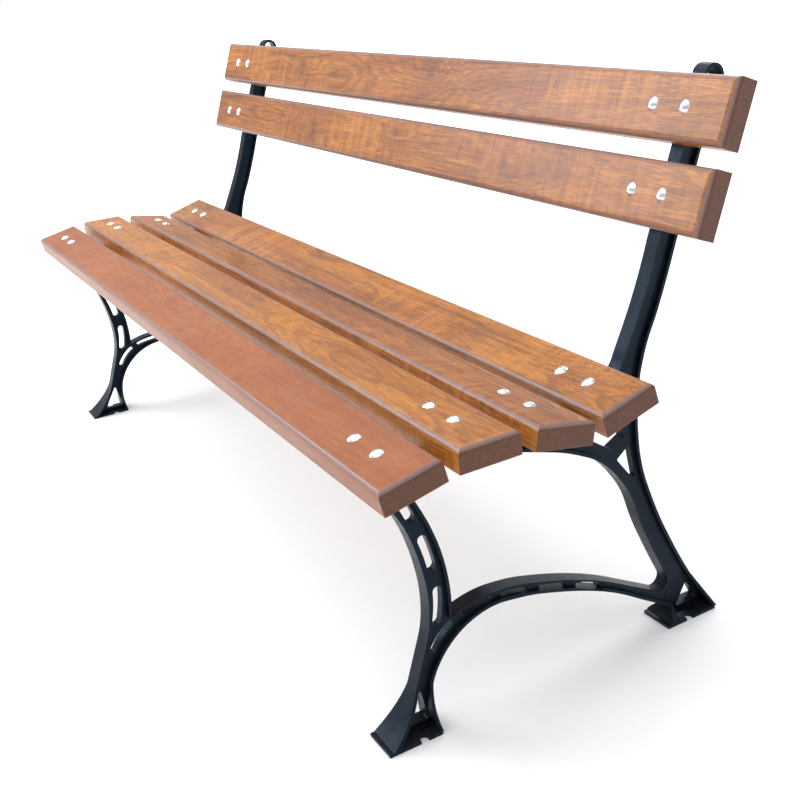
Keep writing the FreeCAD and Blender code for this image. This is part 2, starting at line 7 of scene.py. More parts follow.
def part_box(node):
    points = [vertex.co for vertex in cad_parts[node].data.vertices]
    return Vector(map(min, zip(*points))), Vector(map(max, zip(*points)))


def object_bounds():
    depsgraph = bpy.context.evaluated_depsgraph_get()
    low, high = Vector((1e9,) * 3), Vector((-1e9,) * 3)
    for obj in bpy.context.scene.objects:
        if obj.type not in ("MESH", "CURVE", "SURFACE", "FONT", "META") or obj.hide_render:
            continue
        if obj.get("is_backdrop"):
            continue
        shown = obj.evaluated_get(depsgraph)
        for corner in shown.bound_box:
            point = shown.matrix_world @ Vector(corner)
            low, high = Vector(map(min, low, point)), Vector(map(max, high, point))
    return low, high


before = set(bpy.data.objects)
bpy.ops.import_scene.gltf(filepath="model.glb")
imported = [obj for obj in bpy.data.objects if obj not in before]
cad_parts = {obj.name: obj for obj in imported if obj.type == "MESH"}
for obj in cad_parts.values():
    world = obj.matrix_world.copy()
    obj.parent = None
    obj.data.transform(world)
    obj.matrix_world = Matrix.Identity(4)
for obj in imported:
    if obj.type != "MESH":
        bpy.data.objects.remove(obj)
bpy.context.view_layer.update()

bl_info = {
    "name": "Garden bench",
    "version": (1, 0, 0),
    "blender": (4, 5, 0),
    "location": "3D View > Sidebar > Bench",
    "description": "Finishes for a slatted garden bench with cast side frames, and a studio around it",
    "category": "Object",
}

# Everything is in metres: +X along the slats, +Y towards the back, +Z up.

# Where each slat was cut from its tree: how far the heart lies across and below the slat, how much
# it drifts along the slat, a shift that makes each slat its own, and a shade.
SLAT_CUTS = {
    "seat_slat_front": {"heart": (0.020, -0.085), "drift": 0.030, "shift": 3.1, "shade": 0.68},
    "seat_slat_second": {"heart": (-0.012, -0.060), "drift": -0.024, "shift": 11.7, "shade": -0.16},
    "seat_slat_third": {"heart": (0.030, -0.110), "drift": 0.020, "shift": 23.9, "shade": 0.12},
    "seat_slat_rear": {"heart": (-0.022, -0.075), "drift": -0.035, "shift": 37.3, "shade": -0.08},
    "back_slat_lower": {"heart": (0.008, -0.070), "drift": 0.028, "shift": 52.6, "shade": 0.14},
    "back_slat_upper": {"heart": (-0.018, -0.095), "drift": -0.022, "shift": 67.2, "shade": 0.10},
}

# Knots of each slat: place along it, place across it, and radius.
SLAT_KNOTS = {
    "seat_slat_front": [(-0.05, 0.020, 0.007), (0.42, -0.030, 0.006)],
    "seat_slat_second": [(-0.36, -0.018, 0.008), (0.10, 0.024, 0.006)],
    "seat_slat_third": [(-0.20, 0.016, 0.007), (0.33, -0.022, 0.006)],
    "seat_slat_rear": [(-0.10, 0.022, 0.007), (0.28, -0.018, 0.009)],
    "back_slat_lower": [(-0.30, -0.014, 0.009), (0.06, 0.020, 0.011)],
    "back_slat_upper": [(-0.42, 0.010, 0.010), (0.14, 0.016, 0.012)],
}

# How often each pattern of the wood changes in a metre: along the slat, across it and through it.
GRAIN_SCALES = {
    "wander": (1.3, 5.0, 5.0),
    "waver": (9.0, 60.0, 60.0),
    "fibre": (14.0, 900.0, 900.0),
    "streak": (1.5, 105.0, 105.0),
    "dash": (34.0, 430.0, 430.0),
    "pore": (55.0, 1500.0, 1500.0),
    "figure": (70.0, 8.0, 8.0),
    "figured_area": (2.2, 6.0, 6.0),
    "patch": (2.1, 13.0, 13.0),
    "smear": (5.0, 30.0, 30.0),
    "rolling": (7.0, 26.0, 26.0),
}

# How far the heart wanders, the rings waver, and a knot pushes the rings and the fibres, in metres.
HEART_WANDER = 0.075
RING_WAVER = 0.0045
KNOT_PUSHES_RINGS = 0.012
KNOT_PUSHES_FIBRES = 0.012

# How much of its colour each pattern lays over the pale wood.
WOOD_AMOUNTS = {
    "patches": 0.72,
    "fibre": 0.58,
    "streaks": 0.72,
    "dashes": 0.64,
    "pores": 0.45,
    "figure": 0.42,
    "halo": 0.28,
    "heart": 0.50,
    "end_rings": 0.90,
    "end_dots": 0.60,
    # The rounded edge's colour is a painted sheen, not a colour of the wood.
    "rounded_edge": 0.70,
    "wear": 0.30,
}

# Colours that no setting changes.
WOOD_DUST = (0.45, 0.40, 0.36)
WHITE = (1.0, 1.0, 1.0)
BLACK = (0.0, 0.0, 0.0)

# Each light's place from the bench's middle, its width and height, its setting for power, its tint.
LIGHTS = {
    "key_light": ((-0.3, -0.9, 3.0), (2.6, 1.8), "key", (1.0, 0.985, 0.96)),
    "fill_light": ((-0.8, 2.4, 2.2), (2.4, 1.6), "fill", (0.90, 0.95, 1.0)),
    "side_light": ((-1.9, -1.9, 1.5), (1.5, 1.3), "side", (0.84, 0.93, 1.0)),
}

# From the middle of the bench to the point on the camera's axis that it looks at, the lens shift,
# the sensor's width in millimetres, and how many times longer than the bench the floor is.
CAMERA_AIM = (0.200, 0.174, -0.2183)
CAMERA_SHIFT = (-0.0565, 0.001)
SENSOR_WIDTH = 36.0
FLOOR_SPANS = 20

FASTENERS = ("bolts", "washers", "nuts")
SIDE_FRAMES = ("side_frame_left", "side_frame_right")


# ------------------------------------------------------------------ settings


def shade(name, description, default):
    return bpy.props.FloatVectorProperty(
        name=name, description=description, subtype="COLOR", size=3, min=0.0, max=1.0, default=default
    )


def share(name, description, default):
    return bpy.props.FloatProperty(
        name=name, description=description, subtype="FACTOR", min=0.0, max=1.0, default=default
    )


def length(name, description, default):
    return bpy.props.FloatProperty(
        name=name, description=description, subtype="DISTANCE", unit="LENGTH", precision=5, default=default
    )


def turn(name, description, degrees):
    return bpy.props.FloatProperty(
        name=name, description=description, subtype="ANGLE", unit="ROTATION", default=math.radians(degrees)
    )


def number(name, description, default):
    return bpy.props.FloatProperty(name=name, description=description, default=default)


class BENCH_PG_wood(bpy.types.PropertyGroup):
    light: shade("Pale wood", "Early wood under the stain", (0.53, 0.196, 0.024))
    dark: shade("Dark wood", "Late wood and dark patches", (0.085, 0.022, 0.004))
    red: shade("Red patch", "Places where the stain took more", (0.27, 0.062, 0.013))
    # The end-grain colour is partly the stain that the ends drink and partly painted shade of the ends.
    end_grain_and_shade: shade("End grain", "The sawn ends, which drink the stain", (0.096, 0.031, 0.011))
    # The Rounded edge colour is a painted sheen: the grey reflection that the lacquered round-overs show.
    edge: shade("Rounded edge", "Painted sheen: a grey reflection laid on the rounded edges", (0.19, 0.135, 0.135))
    knot: shade("Knot", "The heart of a knot", (0.075, 0.022, 0.008))
    ring_spacing: length("Ring spacing", "Distance between two growth rings", 0.0038)
    ring_contrast: share("Ring contrast", "How dark the late wood is", 0.50)
    roughness: share("Roughness", "Of the wood under the lacquer", 0.48)
    lacquer: share("Lacquer", "Weight of the clear coat", 0.36)
    lacquer_roughness: share("Lacquer roughness", "Of the clear coat", 0.24)
    fibre_depth: length("Fibre depth", "How deep the fibres show through the lacquer", 0.00035)


class BENCH_PG_iron(bpy.types.PropertyGroup):
    paint: shade("Paint", "Black paint on the castings", (0.0026, 0.0042, 0.0072))
    worn: shade("Worn edge", "Paint rubbed thin on the edges", (0.018, 0.025, 0.036))
    dust: shade("Dust", "Dust on surfaces that face up", (0.20, 0.185, 0.165))
    sheen: shade("Sheen", "Tint of what the paint reflects", (0.42, 0.66, 1.0))
    roughness: share("Roughness", "Of the paint", 0.34)
    cast_depth: length("Cast texture", "Depth of the sand-cast texture", 0.00045)
    edge_radius: length("Edge radius", "Rounding of the casting's edges", 0.0006)


class BENCH_PG_zinc(bpy.types.PropertyGroup):
    plating: shade("Zinc", "Bright zinc plating", (0.80, 0.82, 0.84))
    dull: shade("Dull zinc", "Plating that has begun to dull", (0.50, 0.53, 0.56))
    roughness: share("Roughness", "Of the plating", 0.24)


class BENCH_PG_stage(bpy.types.PropertyGroup):
    floor: shade("Floor", "Pale floor and backdrop", (0.86, 0.86, 0.86))
    glow_start: length("Backdrop start", "Where the floor begins to turn into the lit backdrop", 1.4)
    glow_end: length("Backdrop end", "Where the floor has become the backdrop", 5.0)
    azimuth: turn("Azimuth", "Of the camera round the bench", 60.579)
    elevation: turn("Elevation", "Of the camera above the horizon", 22.125)
    roll: turn("Roll", "Of the camera about its own axis", -4.888)
    distance: length("Distance", "Of the camera from the point it looks at", 2.1647)
    lens: number("Lens", "Focal length in millimetres", 49.43)
    key: number("Key light", "Power of the large light in front, in watts", 62.0)
    fill: number("Fill light", "Power of the light behind and above, in watts", 40.0)
    side: number("Side light", "Power of the light that the back slats reflect, in watts", 43.0)
    sky: shade("Sky", "Tint of the even light all round", (0.95, 0.975, 1.0))
    sky_low: number("Sky at the horizon", "Strength of the even light at the horizon", 0.38)
    sky_high: number("Sky overhead", "Strength of the even light overhead", 1.45)


# ------------------------------------------------------------------ node helpers


# How the nodes are laid out in the editor.
NODES_IN_ROW = 12
NODE_WIDTH = 220
NODE_HEIGHT = 320


class Tree:
    """A material's or a group's nodes, with one short call for each kind used here."""

    def __init__(self, tree):
        self.tree = tree
        self.count = 0

    def add(self, kind, inputs=None, **settings):
        node = self.tree.nodes.new(kind)
        row, column = divmod(self.count, NODES_IN_ROW)
        node.location = (column * NODE_WIDTH, -row * NODE_HEIGHT)
        self.count += 1
        for name, value in settings.items():
            setattr(node, name, value)
        for name, value in (inputs or {}).items():
            self.feed(node.inputs[name], value)
        return node

    def feed(self, socket, value):
        """Links a socket, or sets a plain value."""
        if isinstance(value, bpy.types.NodeSocket):
            self.tree.links.new(value, socket)
        else:
            socket.default_value = value

    def math(self, operation, first, second=0.0, clamp=False):
        node = self.add("ShaderNodeMath", {0: first, 1: second}, operation=operation, use_clamp=clamp)
        return node.outputs[0]

    def times(self, first, second):
        return self.math("MULTIPLY", first, second)

    def plus(self, first, second, clamp=False):
        return self.math("ADD", first, second, clamp)

    def swing(self, value, width):
        """A pattern from 0 to 1, turned into one this wide about zero."""
        return self.times(self.math("SUBTRACT", value, 0.5), width)

    def scaled(self, vector, pattern):
        """A place in the wood, at the scale of one of its patterns."""
        return self.vector("MULTIPLY", vector, GRAIN_SCALES[pattern])

    def vector(self, operation, first, second=(0.0, 0.0, 0.0)):
        node = self.add("ShaderNodeVectorMath", {0: first, 1: second}, operation=operation)
        return node.outputs["Value" if operation in ("LENGTH", "DOT_PRODUCT", "DISTANCE") else "Vector"]

    def parts(self, vector):
        return self.add("ShaderNodeSeparateXYZ", {0: vector}).outputs

    def join(self, x=0.0, y=0.0, z=0.0):
        return self.add("ShaderNodeCombineXYZ", {0: x, 1: y, 2: z}).outputs[0]

    def noise(self, vector, scale, detail=2.0, roughness=0.5, distortion=0.0):
        inputs = {"Vector": vector, "Scale": scale, "Detail": detail, "Roughness": roughness}
        inputs["Distortion"] = distortion
        return self.add("ShaderNodeTexNoise", inputs, noise_dimensions="3D").outputs["Fac"]

    def spread(self, value, low, high, smooth=True):
        """The value as a share of the way from low to high."""
        kind = "SMOOTHSTEP" if smooth else "LINEAR"
        node = self.add("ShaderNodeMapRange", {0: value, 1: low, 2: high}, interpolation_type=kind)
        return node.outputs[0]

    def mix(self, amount, first, second):
        """Two colours, mixed by this amount of the second."""
        inputs = {0: amount, 6: shaded(first), 7: shaded(second)}
        return self.add("ShaderNodeMix", inputs, data_type="RGBA").outputs[2]

    def lay(self, tint, mask, amount, over):
        """A colour laid over another where the mask says, at most by this amount."""
        return self.mix(self.times(mask, amount), tint, over)

    def bump(self, height, distance, strength=1.0, normal=None):
        inputs = {"Height": height, "Distance": distance, "Strength": strength}
        if normal is not None:
            inputs["Normal"] = normal
        return self.add("ShaderNodeBump", inputs).outputs[0]


def colour(values):
    return (*values, 1.0)


def shaded(value):
    """A colour as a node's input takes it, whether it is a socket or three or four numbers."""
    if isinstance(value, bpy.types.NodeSocket) or len(value) == 4:
        return value
    return colour(value)


def brighter(values, factor):
    return [min(1.0, part * factor) for part in values]


def new_group(name, inputs, outputs):
    """A shader node group with these sockets, and the nodes that read and write them."""
    kinds = {"value": "NodeSocketFloat", "colour": "NodeSocketColor", "vector": "NodeSocketVector"}
    tree = bpy.data.node_groups.new(name, "ShaderNodeTree")
    for label, kind, default in inputs:
        socket = tree.interface.new_socket(label, in_out="INPUT", socket_type=kinds[kind])
        socket.default_value = default
    for label, kind in outputs:
        tree.interface.new_socket(label, in_out="OUTPUT", socket_type=kinds[kind])
    nodes = Tree(tree)
    return nodes, nodes.add("NodeGroupInput").outputs, nodes.add("NodeGroupOutput").inputs


def place_group(nodes, name, inputs):
    node = nodes.tree.nodes.new("ShaderNodeGroup")
    node.node_tree = bpy.data.node_groups[name]
    for label, value in inputs.items():
        nodes.feed(node.inputs[label], value)
    return node.outputs


def new_material(name):
    """A material with one Principled shader, as (material, nodes, shader)."""
    material = bpy.data.materials.new(name)
    material.use_nodes = True
    material.node_tree.nodes.clear()
    nodes = Tree(material.node_tree)
    shader = nodes.add("ShaderNodeBsdfPrincipled")
    output = nodes.add("ShaderNodeOutputMaterial")
    material.node_tree.links.new(shader.outputs[0], output.inputs[0])
    return material, nodes, shader


def dress(node, material):
    """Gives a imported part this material, on the object and not on its mesh."""
    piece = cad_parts[node]
    for slot in piece.material_slots:
        slot.link = "OBJECT"
        slot.material = material


# ------------------------------------------------------------------ shared effects


def build_edge_wear():
    """Mask of the sharp edges, broken up so that they look rubbed."""
    inputs = [("Vector", "vector", (0, 0, 0)), ("Radius", "value", 0.003), ("Breakup", "value", 60.0)]
    nodes, given, result = new_group("bench_edge_wear", inputs, [("Mask", "value")])
    rounded = nodes.add("ShaderNodeBevel", {"Radius": given["Radius"]}, samples=6).outputs[0]
    flat = nodes.add("ShaderNodeNewGeometry").outputs["Normal"]
    agree = nodes.vector("DOT_PRODUCT", rounded, flat)
    edge = nodes.spread(agree, 0.995, 0.86)
    patches = nodes.noise(given["Vector"], given["Breakup"], 4.0, 0.6)
    broken = nodes.spread(patches, 0.40, 0.62)
    nodes.feed(result["Mask"], nodes.times(edge, broken))


def build_dust():
    """Mask of dust that has settled on surfaces that face up."""
    inputs = [("Vector", "vector", (0, 0, 0)), ("Amount", "value", 0.3)]
    nodes, given, result = new_group("bench_dust", inputs, [("Mask", "value")])
    facing = nodes.parts(nodes.add("ShaderNodeNewGeometry").outputs["Normal"])[2]
    upward = nodes.spread(facing, 0.25, 1.0)
    cloud = nodes.noise(given["Vector"], 22.0, 5.0, 0.62)
    speck = nodes.noise(given["Vector"], 900.0, 2.0)
    settled = nodes.times(nodes.spread(cloud, 0.40, 0.75), nodes.spread(speck, 0.30, 0.70))
    nodes.feed(result["Mask"], nodes.times(nodes.times(upward, settled), given["Amount"]))


def build_knot():
    """A knot: its dark heart, the halo round it, and how far it pushes the grain aside."""
    zero = (0, 0, 0)
    inputs = [("Vector", "vector", zero), ("Centre", "vector", zero), ("Radius", "value", 0.01)]
    outputs = [("Heart", "value"), ("Halo", "value"), ("Push", "value")]
    nodes, given, result = new_group("bench_knot", inputs, outputs)
    ragged = nodes.noise(given["Vector"], 70.0, 3.0, 0.6)
    offset = nodes.vector("SUBTRACT", given["Vector"], given["Centre"])
    away = nodes.vector("MULTIPLY", offset, (0.62, 1.0, 0.12))
    distance = nodes.math("DIVIDE", nodes.vector("LENGTH", away), given["Radius"])
    distance = nodes.plus(distance, nodes.swing(ragged, 0.9))
    nodes.feed(result["Heart"], nodes.spread(distance, 1.15, 0.45))
    nodes.feed(result["Halo"], nodes.spread(distance, 4.2, 0.8))
    stretched = nodes.vector("MULTIPLY", away, (0.42, 1.0, 1.0))
    near = nodes.math("DIVIDE", nodes.vector("LENGTH", stretched), given["Radius"])
    nodes.feed(result["Push"], nodes.math("EXPONENT", nodes.times(nodes.times(near, near), -0.16)))


def build_grain():
    """Sawn timber: growth rings round a wandering heart, fibres, pores, figure and stain patches."""
    inputs = [
        ("Vector", "vector", (0, 0, 0)),
        ("Heart", "vector", (0, 0, -0.08)),
        ("Drift", "value", 0.02),
        ("Shift", "value", 0.0),
        ("Ring Spacing", "value", 0.0046),
        ("Push", "value", 0.0),
    ]
    names = ("Rings", "Fibre", "Streaks", "Dashes", "Pores", "Figure", "Patches", "End")
    nodes, given, result = new_group("bench_grain", inputs, [(name, "value") for name in names])
    shift = given["Shift"]
    moved = nodes.vector("ADD", given["Vector"], nodes.join(shift, shift, shift))
    along = nodes.parts(given["Vector"])[0]

    # The heart wanders along the slat, and the rings are not quite round.
    wander = nodes.swing(nodes.noise(nodes.scaled(moved, "wander"), 1.0, 2.0), HEART_WANDER)
    slide = nodes.plus(nodes.times(along, given["Drift"]), wander)
    from_heart = nodes.vector("SUBTRACT", given["Vector"], given["Heart"])
    flat = nodes.vector("MULTIPLY", from_heart, (0.0, 1.0, 1.0))
    radius = nodes.plus(nodes.vector("LENGTH", flat), slide)
    waver = nodes.noise(nodes.scaled(moved, "waver"), 1.0, 3.0)
    radius = nodes.plus(radius, nodes.swing(waver, RING_WAVER))
    radius = nodes.plus(radius, nodes.times(given["Push"], KNOT_PUSHES_RINGS))
    ring = nodes.math("DIVIDE", radius, given["Ring Spacing"])
    rings = nodes.math("FRACT", ring)
    late = nodes.times(nodes.spread(rings, 0.15, 0.86), nodes.spread(rings, 1.0, 0.90))
    year = nodes.math("FLOOR", ring)
    strength = nodes.add("ShaderNodeTexWhiteNoise", {"W": year}, noise_dimensions="1D").outputs[0]
    nodes.feed(result["Rings"], nodes.times(late, nodes.plus(nodes.times(strength, 0.6), 0.4)))

    # Fibres run along the slat, with longer streaks, short dashes and open pores among them.
    bend = nodes.join(0.0, nodes.times(given["Push"], KNOT_PUSHES_FIBRES), slide)
    bent = nodes.vector("ADD", moved, bend)
    nodes.feed(result["Fibre"], nodes.noise(nodes.scaled(bent, "fibre"), 1.0, 3.0, 0.62))
    streaks = nodes.noise(nodes.scaled(bent, "streak"), 1.0, 4.0, 0.66)
    nodes.feed(result["Streaks"], nodes.spread(streaks, 0.46, 0.72))
    dashes = nodes.noise(nodes.scaled(bent, "dash"), 1.0, 3.0, 0.7)
    nodes.feed(result["Dashes"], nodes.spread(dashes, 0.48, 0.66))
    pores = nodes.noise(nodes.scaled(bent, "pore"), 1.0, 1.0)
    nodes.feed(result["Pores"], nodes.spread(pores, 0.62, 0.78))

    # Figure is the faint cross-grain flicker of planed wood.
    ripple = nodes.noise(nodes.scaled(moved, "figure"), 1.0, 4.0, 0.6, 0.5)
    figured = nodes.noise(nodes.scaled(moved, "figured_area"), 1.0, 2.0)
    where = nodes.spread(figured, 0.42, 0.66)
    nodes.feed(result["Figure"], nodes.times(nodes.spread(ripple, 0.35, 0.70), where))
    patches = nodes.noise(nodes.scaled(moved, "patch"), 1.0, 4.0, 0.6, 0.6)
    nodes.feed(result["Patches"], nodes.spread(patches, 0.38, 0.66))

    facing = nodes.parts(nodes.add("ShaderNodeNewGeometry").outputs["Normal"])[0]
    nodes.feed(result["End"], nodes.spread(nodes.math("ABSOLUTE", facing), 0.55, 0.92))


# ------------------------------------------------------------------ materials


def lie_of(node):
    """A slat's middle and its tilt about X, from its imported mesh."""
    low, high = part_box(node)
    areas = {}
    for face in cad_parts[node].data.polygons:
        key = tuple(round(part, 2) for part in face.normal)
        areas[key] = areas.get(key, 0.0) + face.area
    under = max(areas, key=areas.get)
    return (low + high) / 2, math.atan2(under[1], -under[2])


def slat_material(node, wood):
    """Stained and lacquered timber whose grain lies along this slat."""
    cut = SLAT_CUTS[node]
    amounts = WOOD_AMOUNTS
    middle, tilt = lie_of(node)
    material, nodes, shader = new_material(f"wood_{node}")
    place = nodes.add("ShaderNodeTexCoord").outputs["Object"]
    mapping = nodes.add("ShaderNodeMapping", {"Vector": place}, vector_type="TEXTURE")
    mapping.inputs["Location"].default_value = middle
    mapping.inputs["Rotation"].default_value = (tilt, 0.0, 0.0)
    local = mapping.outputs[0]

    push, heart, halo = 0.0, 0.0, 0.0
    for along, across, radius in SLAT_KNOTS[node]:
        knot_inputs = {"Vector": local, "Centre": (along, across, 0.0), "Radius": radius}
        knot = place_group(nodes, "bench_knot", knot_inputs)
        push = nodes.plus(push, knot["Push"])
        heart = nodes.math("MAXIMUM", heart, knot["Heart"])
        halo = nodes.math("MAXIMUM", halo, knot["Halo"])
    across, below = cut["heart"]
    grain_inputs = {"Vector": local, "Heart": (0.0, across, below), "Drift": cut["drift"]}
    grain_inputs.update({"Shift": cut["shift"], "Ring Spacing": wood.ring_spacing, "Push": push})
    grain = place_group(nodes, "bench_grain", grain_inputs)

    # The planed faces: pale wood under everything that darkens it.
    glow = brighter(wood.light, 1.25)
    tint = nodes.lay(wood.light, grain["Patches"], amounts["patches"], wood.red)
    tint = nodes.lay(tint, grain["Rings"], wood.ring_contrast, wood.dark)
    tint = nodes.lay(tint, nodes.spread(grain["Fibre"], 0.42, 0.62), amounts["fibre"], wood.dark)
    tint = nodes.lay(tint, grain["Streaks"], amounts["streaks"], wood.dark)
    tint = nodes.lay(tint, grain["Dashes"], amounts["dashes"], wood.dark)
    tint = nodes.lay(tint, grain["Pores"], amounts["pores"], wood.knot)
    tint = nodes.lay(tint, grain["Figure"], amounts["figure"], glow)
    tint = nodes.lay(tint, halo, amounts["halo"], wood.dark)
    tint = nodes.lay(tint, heart, amounts["heart"], wood.knot)
    toward = wood.red if cut["shade"] > 0 else wood.light
    tint = nodes.mix(abs(cut["shade"]), tint, toward)

    # The sawn ends, where the rings show as arcs and the fibres as dots.
    # The end colour is partly the ends' own darker stain and partly painted shade.
    ends = nodes.lay(wood.end_grain_and_shade, grain["Rings"], amounts["end_rings"], wood.knot)
    dots = nodes.spread(grain["Dashes"], 0.20, 0.80)
    ends = nodes.lay(ends, dots, amounts["end_dots"], brighter(wood.end_grain_and_shade, 1.9))
    tint = nodes.mix(grain["End"], tint, ends)

    # A painted sheen on the rounded edges, the rubbed corners, and dust.
    normal = nodes.add("ShaderNodeNewGeometry").outputs["Normal"]
    up = nodes.vector("DOT_PRODUCT", normal, (0.0, -math.sin(tilt), math.cos(tilt)))
    # Painted sheen: the grey edge colour is laid where the surface turns between top and side, standing in
    # for reflected light.
    rounded = nodes.times(nodes.spread(up, 0.30, 0.62), nodes.spread(up, 0.975, 0.87))
    tint = nodes.lay(tint, rounded, amounts["rounded_edge"], wood.edge)
    wear_inputs = {"Vector": local, "Radius": 0.004, "Breakup": 45.0}
    wear = place_group(nodes, "bench_edge_wear", wear_inputs)["Mask"]
    tint = nodes.lay(tint, wear, amounts["wear"], glow)
    dust = place_group(nodes, "bench_dust", {"Vector": local, "Amount": 0.10})["Mask"]
    nodes.feed(shader.inputs["Base Color"], nodes.mix(dust, tint, WOOD_DUST))

    smear = nodes.noise(nodes.scaled(local, "smear"), 1.0, 4.0, 0.6)
    rough = nodes.plus(nodes.swing(smear, 0.28), wood.roughness)
    rough = nodes.plus(rough, nodes.times(grain["End"], 0.16))
    nodes.feed(shader.inputs["Roughness"], nodes.plus(rough, nodes.times(dust, 0.3), clamp=True))

    height = nodes.plus(nodes.times(grain["Fibre"], 0.6), nodes.times(grain["Rings"], -0.25))
    height = nodes.math("SUBTRACT", height, nodes.times(grain["Pores"], 0.35))
    rolling = nodes.bump(nodes.noise(nodes.scaled(local, "rolling"), 1.0, 1.0), 0.0016, 0.35)
    nodes.feed(shader.inputs["Normal"], nodes.bump(height, wood.fibre_depth, 0.55, rolling))
    shader.inputs["Coat Weight"].default_value = wood.lacquer
    shader.inputs["Coat Roughness"].default_value = wood.lacquer_roughness
    shader.inputs["Coat IOR"].default_value = 1.5
    shader.inputs["Specular IOR Level"].default_value = 0.32
    return material


def iron_material(iron):
    """Sand-cast iron under satin black paint."""
    material, nodes, shader = new_material("cast_iron_black")
    place = nodes.add("ShaderNodeTexCoord").outputs["Object"]
    grit = nodes.noise(place, 720.0, 3.0, 0.55)
    lumps = nodes.noise(place, 75.0, 3.0, 0.5)
    swell = nodes.noise(place, 16.0, 2.0, 0.5)
    wear_inputs = {"Vector": place, "Radius": 0.0026, "Breakup": 85.0}
    wear = place_group(nodes, "bench_edge_wear", wear_inputs)["Mask"]
    dust = place_group(nodes, "bench_dust", {"Vector": place, "Amount": 0.20})["Mask"]
    tint = nodes.mix(nodes.spread(swell, 0.38, 0.68), iron.paint, brighter(iron.paint, 1.9))
    tint = nodes.lay(tint, wear, 0.75, iron.worn)
    nodes.feed(shader.inputs["Base Color"], nodes.mix(dust, tint, iron.dust))
    rough = nodes.plus(nodes.swing(lumps, 0.30), iron.roughness)
    rough = nodes.plus(rough, nodes.swing(grit, 0.12))
    nodes.feed(shader.inputs["Roughness"], nodes.plus(rough, nodes.times(dust, 0.5), clamp=True))
    skin = nodes.bump(lumps, iron.cast_depth * 2.0, 0.35)
    nodes.feed(shader.inputs["Normal"], nodes.bump(grit, iron.cast_depth, 0.45, skin))
    shader.inputs["Specular IOR Level"].default_value = 0.20
    shader.inputs["Specular Tint"].default_value = colour(iron.sheen)
    return material


def zinc_material(zinc):
    """Bright zinc plating with faint mottling and scuffs."""
    material, nodes, shader = new_material("zinc_bright")
    place = nodes.add("ShaderNodeTexCoord").outputs["Object"]
    mottle = nodes.noise(place, 160.0, 4.0, 0.6)
    scuffs = nodes.noise(nodes.vector("MULTIPLY", place, (300.0, 1900.0, 1900.0)), 1.0, 2.0)
    wear_inputs = {"Vector": place, "Radius": 0.0008, "Breakup": 200.0}
    wear = place_group(nodes, "bench_edge_wear", wear_inputs)["Mask"]
    tint = nodes.mix(nodes.spread(mottle, 0.40, 0.72), zinc.plating, zinc.dull)
    nodes.feed(shader.inputs["Base Color"], nodes.lay(tint, wear, 0.5, zinc.dull))
    rough = nodes.plus(nodes.swing(mottle, 0.25), zinc.roughness)
    rough = nodes.plus(rough, nodes.times(nodes.spread(scuffs, 0.55, 0.75), 0.10), clamp=True)
    nodes.feed(shader.inputs["Roughness"], rough)
    nodes.feed(shader.inputs["Normal"], nodes.bump(scuffs, 0.00012, 0.25))
    shader.inputs["Metallic"].default_value = 1.0
    return material


def floor_material(stage):
    """A pale floor that turns into a lit white backdrop away from the bench."""
    material, nodes, shader = new_material("studio_floor")
    place = nodes.add("ShaderNodeTexCoord").outputs["Object"]
    cloud = nodes.noise(place, 1.7, 3.0, 0.5)
    near = brighter(stage.floor, 0.985)
    nodes.feed(shader.inputs["Base Color"], nodes.mix(nodes.spread(cloud, 0.3, 0.7), stage.floor, near))
    nodes.feed(shader.inputs["Roughness"], nodes.spread(cloud, -2.0, 2.0, smooth=False))
    across, back, _ = nodes.parts(place)
    away = nodes.vector("LENGTH", nodes.join(across, back))
    glow = nodes.spread(away, stage.glow_start, stage.glow_end)
    nodes.feed(shader.inputs["Emission Color"], nodes.mix(glow, BLACK, WHITE))
    shader.inputs["Emission Strength"].default_value = 1.0
    shader.inputs["Specular IOR Level"].default_value = 0.2
    return material


# ------------------------------------------------------------------ pieces


# Mesh points this near, in metres, are one point, and corners that turn by less than this many
# degrees are not rounded.
SEAM_GAP = 0.00001
SHARPEST_SMOOTH = 40


def soften_edges(node, width):
    """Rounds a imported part's sharp edges with modifiers, so that they catch the light."""
    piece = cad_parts[node]
    weld = piece.modifiers.new("close_seams", "WELD")
    weld.merge_threshold = SEAM_GAP
    bevel = piece.modifiers.new("rounded_edges", "BEVEL")
    bevel.width = width
    bevel.segments = 2
    bevel.limit_method = "ANGLE"
    bevel.angle_limit = math.radians(SHARPEST_SMOOTH)
    bevel.use_clamp_overlap = True
    normals = piece.modifiers.new("even_shading", "WEIGHTED_NORMAL")
    normals.weight = 60
    normals.keep_sharp = False


class BENCH_OT_shared_effects(bpy.types.Operator):
    """Build the node groups that the finishes share"""

    bl_idname = "bench.shared_effects"
    bl_label = "Shared effects"

    def execute(self, context):
        for build in (build_edge_wear, build_dust, build_knot, build_grain):
            build()
        return {"FINISHED"}


class BENCH_OT_slats(bpy.types.Operator):
    """Finish the six slats as stained, lacquered wood"""

    bl_idname = "bench.slats"
    bl_label = "Slats"

    def execute(self, context):
        wood = context.scene.bench_wood
        for node in SLAT_CUTS:
            dress(node, slat_material(node, wood))
        return {"FINISHED"}


class BENCH_OT_side_frames(bpy.types.Operator):
    """Finish the two cast side frames in black paint"""

    bl_idname = "bench.side_frames"
    bl_label = "Side frames"

    def execute(self, context):
        iron = context.scene.bench_iron
        material = iron_material(iron)
        for node in SIDE_FRAMES:
            dress(node, material)
            soften_edges(node, iron.edge_radius)
        return {"FINISHED"}


class BENCH_OT_fasteners(bpy.types.Operator):
    """Finish the coach bolts, washers and nuts in bright zinc"""

    bl_idname = "bench.fasteners"
    bl_label = "Bolts, washers and nuts"

    def execute(self, context):
        material = zinc_material(context.scene.bench_zinc)
        for slat in SLAT_CUTS:
            for kind in FASTENERS:
                dress(f"{slat}_{kind}", material)
        return {"FINISHED"}


